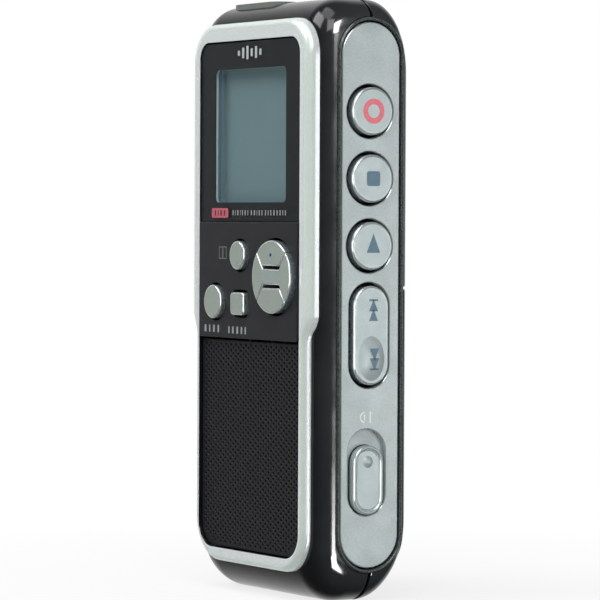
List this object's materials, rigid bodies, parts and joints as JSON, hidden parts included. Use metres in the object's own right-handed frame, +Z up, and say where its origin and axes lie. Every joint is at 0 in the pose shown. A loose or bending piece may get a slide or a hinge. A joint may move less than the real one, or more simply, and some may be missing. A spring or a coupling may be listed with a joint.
{
  "type": "handheld voice recorder",
  "caption": "Slim upright handheld voice recorder with a raised silver bezel, a small display, a keypad, a speaker grille and a side strip of transport keys.",
  "frame": {"origin": "centre of the flat bottom end, so the recorder stands on the plane Z = 0", "axes": "+Z up along the recorder's length, -Y out of the front panel, +X towards the side with the transport keys"},
  "size_m": [0.0451, 0.0218, 0.1067],
  "materials": {
    "case_black": "high-gloss moulded plastic, polished",
    "bezel_silver": "pale greenish silver paint, satin, bright polished rim",
    "panel_black": "smooth charcoal plastic, semi-gloss, printed legends",
    "lens_clear": "clear moulded window, polished",
    "screen": "blue-grey liquid crystal glass, unlit",
    "grille_black": "finely perforated sheet, satin charcoal paint",
    "plate_silver": "cool silver metallic paint with a fine grain",
    "ring_silver": "satin plated trim",
    "key_silver": "grey-green metallic paint, bright edges",
    "side_key_silver": "cool silver metallic paint, printed symbols",
    "jack_grey": "moulded grey plastic",
    "white_plastic": "moulded white plastic",
    "rubber_grey": "moulded silicone rubber",
    "cloth_black": "fine woven dust cloth",
    "steel": "plated steel",
    "paper_cone": "pressed cone, dull",
    "board_green": "glass-fibre circuit board with solder mask",
    "chip_black": "moulded chip package",
    "capacitor_blue": "printed aluminium can",
    "cell_jacket": "plain printed jacket, no lettering"
  },
  "bodies": {
    "case": {"front_shell": "case_black", "rear_shell": "case_black", "front_bezel": "bezel_silver", "display_lens": "lens_clear", "lens_mask": "panel_black", "lcd_frame": "white_plastic", "lcd_glass": "screen", "backlight_plate": "white_plastic", "control_panel": "panel_black", "speaker_grille": "grille_black", "dust_cloth": "cloth_black", "front_keypad": "rubber_grey", "speaker_basket": "steel", "speaker_cone": "paper_cone", "speaker_magnet": "steel", "main_board": "board_green", "processor_chip": "chip_black", "memory_chip": "chip_black", "clock_crystal": "steel", "filter_capacitor": "capacitor_blue", "side_plate": "plate_silver", "side_ring": "ring_silver", "rocker_pin": "steel", "hold_switch": "chip_black", "side_keypad": "rubber_grey", "side_board": "board_green", "case_screw_1": "steel", "case_screw_2": "steel", "case_screw_3": "steel", "case_screw_4": "steel", "jack_plate": "jack_grey", "microphone_jack": "chip_black", "earphone_jack": "chip_black", "microphone_capsule": "steel", "usb_socket": "steel", "battery_cell_1": "cell_jacket", "battery_cell_2": "cell_jacket", "contact_spring_1": "steel", "contact_spring_2": "steel", "contact_tab_1": "steel", "contact_tab_2": "steel"},
    "battery_door": {"battery_door": "case_black"},
    "record_button": {"record_button": "side_key_silver"},
    "stop_button": {"stop_button": "side_key_silver"},
    "play_button": {"play_button": "side_key_silver"},
    "skip_rocker": {"skip_rocker": "side_key_silver"},
    "hold_slider": {"hold_slider": "side_key_silver"},
    "menu_button": {"menu_button": "key_silver"},
    "erase_button": {"erase_button": "key_silver"},
    "bookmark_button": {"bookmark_button": "key_silver"},
    "volume_up_key": {"volume_up_key": "key_silver"},
    "center_key": {"center_key": "key_silver"},
    "volume_down_key": {"volume_down_key": "key_silver"}
  },
  "joints": [
    {"name": "record_press", "type": "slide", "parent": "case", "child": "record_button", "axis": [-1, 0, 0], "range_m": [0, 0.0005], "stiffness_N_per_m": 300},
    {"name": "stop_press", "type": "slide", "parent": "case", "child": "stop_button", "axis": [-1, 0, 0], "range_m": [0, 0.0005], "stiffness_N_per_m": 300},
    {"name": "play_press", "type": "slide", "parent": "case", "child": "play_button", "axis": [-1, 0, 0], "range_m": [0, 0.0005], "stiffness_N_per_m": 300},
    {"name": "skip_rock", "type": "hinge", "parent": "case", "child": "skip_rocker", "pos_m": [0.0192, 0.0016, 0.04725], "axis": [0, 1, 0], "range_deg": [-3, 3], "stiffness_Nm_per_rad": 0.02},
    {"name": "hold_slide", "type": "slide", "parent": "case", "child": "hold_slider", "axis": [0, 0, 1], "range_m": [0, 0.0024]},
    {"name": "bookmark_press", "type": "slide", "parent": "case", "child": "bookmark_button", "axis": [0, 1, 0], "range_m": [0, 0.0005], "stiffness_N_per_m": 300},
    {"name": "menu_press", "type": "slide", "parent": "case", "child": "menu_button", "axis": [0, 1, 0], "range_m": [0, 0.0005], "stiffness_N_per_m": 300},
    {"name": "erase_press", "type": "slide", "parent": "case", "child": "erase_button", "axis": [0, 1, 0], "range_m": [0, 0.0005], "stiffness_N_per_m": 300},
    {"name": "volume_up_press", "type": "slide", "parent": "case", "child": "volume_up_key", "axis": [0, 1, 0], "range_m": [0, 0.0005], "stiffness_N_per_m": 300},
    {"name": "center_press", "type": "slide", "parent": "case", "child": "center_key", "axis": [0, 1, 0], "range_m": [0, 0.0005], "stiffness_N_per_m": 300},
    {"name": "volume_down_press", "type": "slide", "parent": "case", "child": "volume_down_key", "axis": [0, 1, 0], "range_m": [0, 0.0005], "stiffness_N_per_m": 300},
    {"name": "door_slide", "type": "slide", "parent": "case", "child": "battery_door", "axis": [0, 0, -1], "range_m": [0, 0.006]}
  ]
}
